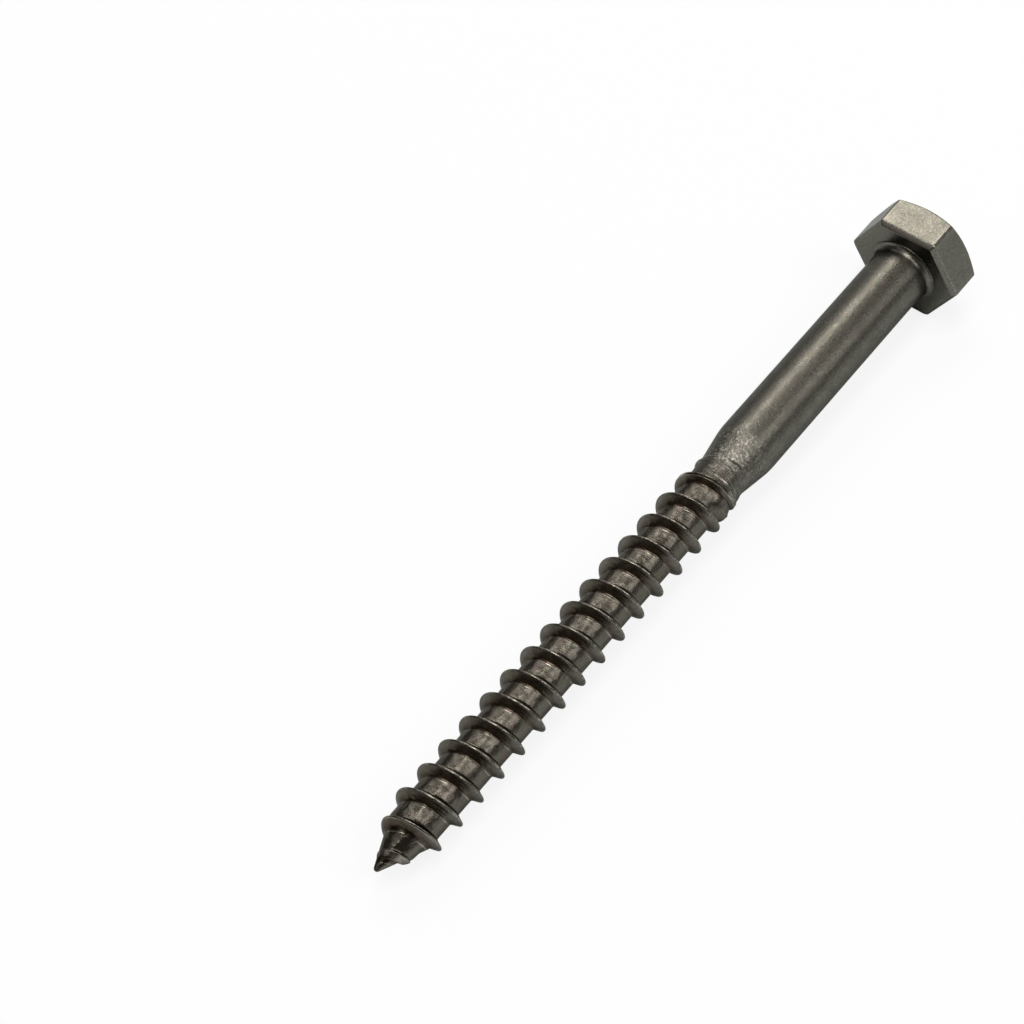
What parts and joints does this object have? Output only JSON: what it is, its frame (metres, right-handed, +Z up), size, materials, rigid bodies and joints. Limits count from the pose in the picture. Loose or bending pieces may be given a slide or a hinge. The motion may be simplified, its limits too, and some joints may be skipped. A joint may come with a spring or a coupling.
{
  "type": "hex head wood screw",
  "caption": "Long wood screw with a flat hexagon head, a plain round shank and a coarse pointed thread, for fastening timber with a spanner.",
  "frame": {"origin": "on the floor, below the middle of the screw's own box as it lies at rest", "axes": "+X runs from the head toward the point, +Y across the screw, +Z up. The screw lies on the edge of its lowest flat and on the last full turn of its thread, so its axis dips by 1.6 degrees toward the point."},
  "size_m": [0.1052, 0.015, 0.0131],
  "materials": {
    "stainless_steel": "bare rolled stainless steel, slightly rough"
  },
  "bodies": {
    "root": {"wood_screw": "stainless_steel"}
  },
  "joints": []
}
